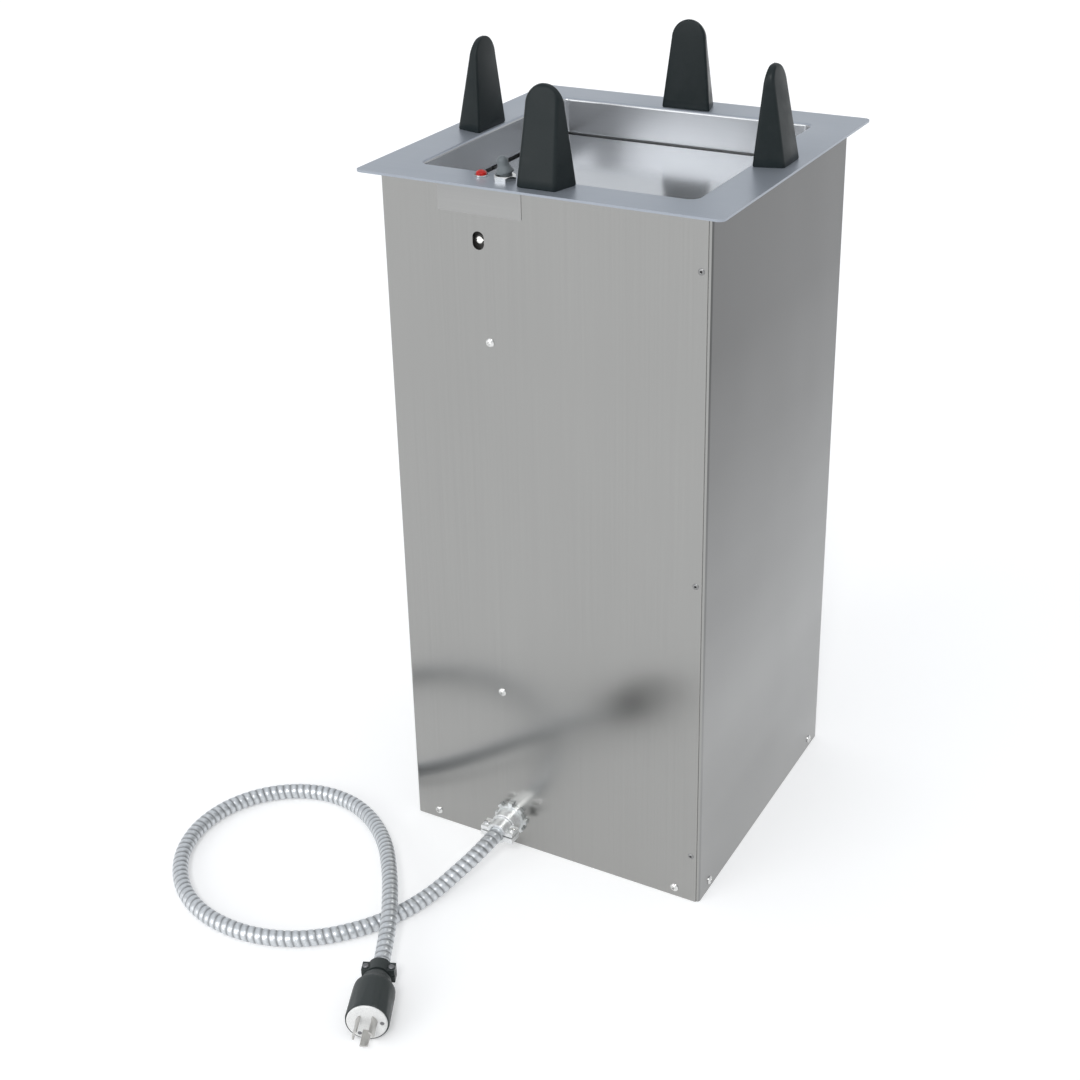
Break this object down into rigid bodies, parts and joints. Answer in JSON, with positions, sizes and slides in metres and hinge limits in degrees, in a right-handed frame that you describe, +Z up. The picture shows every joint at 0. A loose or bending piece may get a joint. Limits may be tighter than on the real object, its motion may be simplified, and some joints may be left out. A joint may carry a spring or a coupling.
{
  "type": "heated plate dispenser",
  "caption": "Drop-in heated plate dispenser: square stainless cabinet, sprung platform in a well with black plate guides, pilot lamp, switch, conduit lead and plug.",
  "frame": {"origin": "centre of the cabinet at its bottom, on the surface it stands on", "axes": "+Z up, -Y out of the front wall with the conduit and the controls, +X to the right as seen from the front"},
  "size_m": [0.4989, 0.6253, 0.7427],
  "materials": {
    "flange_steel": "brushed",
    "cabinet_steel": "brushed",
    "platform_steel": "satin",
    "inner_steel": "brushed",
    "label_blank": "satin",
    "guide_plastic": "satin",
    "bright_fastener": "polished",
    "zinc": "satin",
    "bumper_rubber": "matte",
    "spring_steel": "satin",
    "heater_sheath": "matte",
    "control_plastic": "matte",
    "spindle_brass": "polished",
    "copper_tube": "satin",
    "black_plastic": "matte",
    "boot_rubber": "satin",
    "pilot_red": "glossy",
    "wire_insulation": "satin",
    "dark_rivet": "satin",
    "conduit_steel": "satin",
    "plug_black": "satin",
    "plug_white": "satin",
    "blade_metal": "satin",
    "roller_plastic": "satin"
  },
  "bodies": {
    "cabinet": {"top_flange": "flange_steel", "cabinet_wrap": "cabinet_steel", "side_panel": "cabinet_steel", "bottom_pan": "inner_steel", "label_plate": "label_blank", "guide_front": "guide_plastic", "guide_back": "guide_plastic", "guide_left": "guide_plastic", "guide_right": "guide_plastic", "guide_screws": "bright_fastener", "liner_front": "inner_steel", "liner_back": "inner_steel", "liner_left": "inner_steel", "liner_right": "inner_steel", "heat_floor": "inner_steel", "floor_stands": "zinc", "rail_left": "inner_steel", "rail_right": "inner_steel", "spring_hangers": "zinc", "stop_bumpers": "bumper_rubber", "springs_left": "spring_steel", "springs_right": "spring_steel", "heater_element": "heater_sheath", "heater_brackets": "inner_steel", "thermostat_body": "control_plastic", "thermostat_bracket": "zinc", "capillary_bulb": "copper_tube", "switch_body": "black_plastic", "switch_nut": "bright_fastener", "pilot_body": "bright_fastener", "pilot_lens": "pilot_red", "wire_channel": "inner_steel", "wiring": "wire_insulation", "terminal_block": "control_plastic", "seam_rivets": "dark_rivet", "base_screws": "bright_fastener", "front_screws": "bright_fastener", "connector_body": "zinc", "connector_clamp": "zinc", "connector_screws": "bright_fastener", "connector_locknuts": "zinc", "conduit": "conduit_steel", "plug_body": "plug_black", "plug_face": "plug_white", "plug_blades": "blade_metal", "plug_clamp": "plug_black", "plug_screws": "bright_fastener"},
    "carriage": {"platform": "platform_steel", "carriage_frame": "zinc", "roller_plate_left": "zinc", "roller_plate_right": "zinc", "roller_axles": "bright_fastener"},
    "roller_left_upper_body": {"roller_left_upper": "roller_plastic"},
    "roller_left_lower_body": {"roller_left_lower": "roller_plastic"},
    "roller_right_upper_body": {"roller_right_upper": "roller_plastic"},
    "roller_right_lower_body": {"roller_right_lower": "roller_plastic"},
    "switch_toggle": {"switch_lever": "bright_fastener", "switch_boot": "boot_rubber"},
    "thermostat_dial": {"thermostat_spindle": "spindle_brass"}
  },
  "joints": [
    {"name": "platform_slide", "type": "slide", "parent": "cabinet", "child": "carriage", "axis": [0, 0, 1], "range_m": [-0.44, 0], "stiffness_N_per_m": 600, "springref_m": 0.1, "deforming": ["springs_left", "springs_right"]},
    {"name": "roller_left_upper_spin", "type": "hinge", "parent": "carriage", "child": "roller_left_upper_body", "pos_m": [-0.1452, 0, 0.5958], "axis": [1, 0, 0], "range_deg": [-3160, 10]},
    {"name": "roller_left_lower_spin", "type": "hinge", "parent": "carriage", "child": "roller_left_lower_body", "pos_m": [-0.1452, 0, 0.5078], "axis": [1, 0, 0], "range_deg": [-3160, 10]},
    {"name": "roller_right_upper_spin", "type": "hinge", "parent": "carriage", "child": "roller_right_upper_body", "pos_m": [0.1452, 0, 0.5958], "axis": [1, 0, 0], "range_deg": [-3160, 10]},
    {"name": "roller_right_lower_spin", "type": "hinge", "parent": "carriage", "child": "roller_right_lower_body", "pos_m": [0.1452, 0, 0.5078], "axis": [1, 0, 0], "range_deg": [-3160, 10]},
    {"name": "switch_throw", "type": "hinge", "parent": "cabinet", "child": "switch_toggle", "pos_m": [-0.037, -0.1408, 0.6665], "axis": [0, 1, 0], "range_deg": [0, 24]},
    {"name": "thermostat_turn", "type": "hinge", "parent": "cabinet", "child": "thermostat_dial", "pos_m": [-0.058, -0.147, 0.609], "axis": [0, -1, 0], "range_deg": [0, 300]}
  ],
  "couplings": [
    {"joint": "roller_left_upper_spin", "follows": "platform_slide", "rad_per_m": 125},
    {"joint": "roller_left_lower_spin", "follows": "platform_slide", "rad_per_m": 125},
    {"joint": "roller_right_upper_spin", "follows": "platform_slide", "rad_per_m": 125},
    {"joint": "roller_right_lower_spin", "follows": "platform_slide", "rad_per_m": 125}
  ]
}
